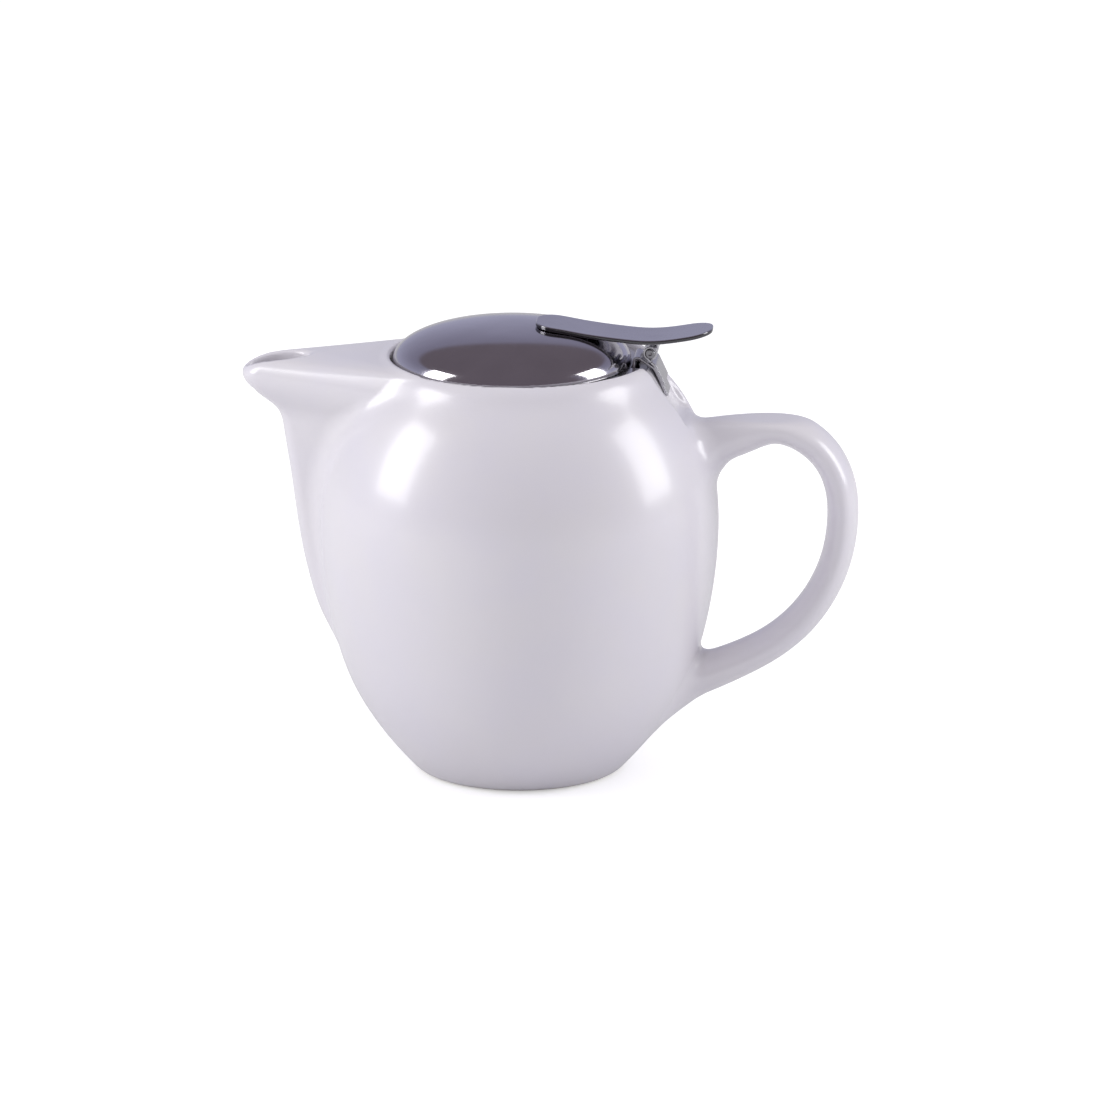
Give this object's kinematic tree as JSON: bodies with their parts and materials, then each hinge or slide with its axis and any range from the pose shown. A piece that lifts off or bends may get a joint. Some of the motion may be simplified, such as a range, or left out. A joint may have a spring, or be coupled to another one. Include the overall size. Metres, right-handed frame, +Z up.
{
  "type": "teapot with infuser",
  "caption": "Round-bellied white glazed teapot with a beak spout and loop handle, a steel mesh infuser hung in its mouth and a domed steel lid hinged on a rim clip with a curved thumb lever.",
  "frame": {"origin": "centre of the standing ring, on the surface that the pot stands on", "axes": "+Z up, +X towards the handle and the thumb lever, -X towards the spout; the XZ plane is the plane of symmetry"},
  "size_m": [0.1649, 0.1068, 0.123],
  "materials": {
    "ceramic_body": "white glaze, semi-gloss",
    "ceramic_spout": "white glaze, semi-gloss",
    "ceramic_handle": "white glaze, semi-gloss",
    "infuser_steel": "stamped stainless steel, satin",
    "infuser_mesh": "woven stainless wire",
    "clip_steel": "stainless strip, polished faces and sheared edges",
    "pin_steel": "drawn stainless wire, peened ends",
    "lid_steel": "mirror-polished stainless steel",
    "lever_steel": "polished stainless steel"
  },
  "bodies": {
    "pot": {"pot_base": "ceramic_body", "pot_body": "ceramic_body", "pot_shoulder": "ceramic_body", "spout": "ceramic_spout", "handle": "ceramic_handle"},
    "infuser": {"infuser_rim": "infuser_steel", "infuser_mesh": "infuser_mesh", "infuser_seam": "infuser_steel", "infuser_cup": "infuser_steel", "infuser_floor": "infuser_mesh"},
    "clip": {"clip_spring": "clip_steel", "hinge_bracket": "clip_steel", "hinge_pin": "pin_steel"},
    "lid": {"lid_dome": "lid_steel", "thumb_lever": "lever_steel", "lever_knuckle": "lever_steel"}
  },
  "joints": [
    {"name": "infuser_lift", "type": "slide", "parent": "pot", "child": "infuser", "axis": [0, 0, 1], "range_m": [0, 0.09]},
    {"name": "clip_lift", "type": "slide", "parent": "infuser", "child": "clip", "axis": [0, 0, 1], "range_m": [0, 0.04]},
    {"name": "lid_hinge", "type": "hinge", "parent": "clip", "child": "lid", "pos_m": [0.0353, 0, 0.1157], "axis": [0, 1, 0], "range_deg": [0, 75]}
  ]
}
